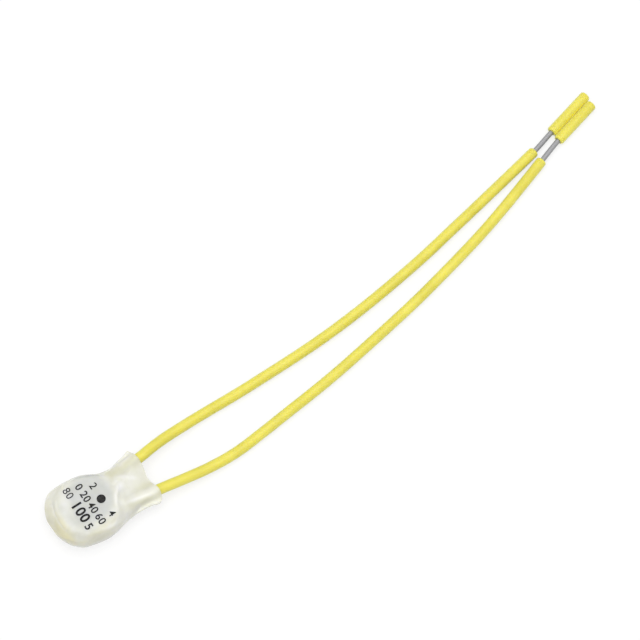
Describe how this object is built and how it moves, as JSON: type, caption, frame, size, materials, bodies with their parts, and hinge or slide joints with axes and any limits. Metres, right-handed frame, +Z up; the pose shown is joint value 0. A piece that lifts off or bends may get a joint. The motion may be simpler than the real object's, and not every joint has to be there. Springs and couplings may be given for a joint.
{
  "type": "bimetal disc thermostat",
  "caption": "Round bimetal disc switch shrunk into a milky film sleeve, with yellow insulated leads whose ends are stripped.",
  "frame": {"origin": "point on the axis of the disc, on the flat underside of the sleeve", "axes": "+Z up along the axis of the disc, +X from the disc through the mouth of the sleeve to the leads, +Y across"},
  "size_m": [0.0988, 0.019, 0.0049],
  "materials": {
    "film": "milky translucent shrunk film",
    "steel": "plain drawn steel",
    "cover_steel": "plain stamped steel",
    "foil": "amber insulating foil",
    "silver": "silver contact metal",
    "bimetal": "rolled bimetal strip",
    "spring": "rolled spring steel",
    "solder": "soft solder",
    "strands": "tinned copper strands",
    "yellow": "yellow lead insulation"
  },
  "bodies": {
    "switch": {"shrink_sleeve": "film", "housing_cup": "steel", "cover_plate": "cover_steel", "insulating_foil": "foil", "fixed_contact": "silver", "spring_disc": "spring", "bimetal_disc": "bimetal", "solder_joint_wall": "solder", "solder_joint_cover": "solder", "lead_a_conductor": "strands", "lead_b_conductor": "strands", "lead_a_insulation": "yellow", "lead_b_insulation": "yellow", "lead_a_end_sleeve": "yellow", "lead_b_end_sleeve": "yellow"},
    "contact": {"moving_contact": "silver", "retaining_ring": "steel"}
  },
  "joints": [
    {"name": "contact_lift", "type": "slide", "parent": "switch", "child": "contact", "axis": [0, 0, 1], "range_m": [0, 0.0003], "deforming": ["spring_disc", "bimetal_disc"]}
  ]
}
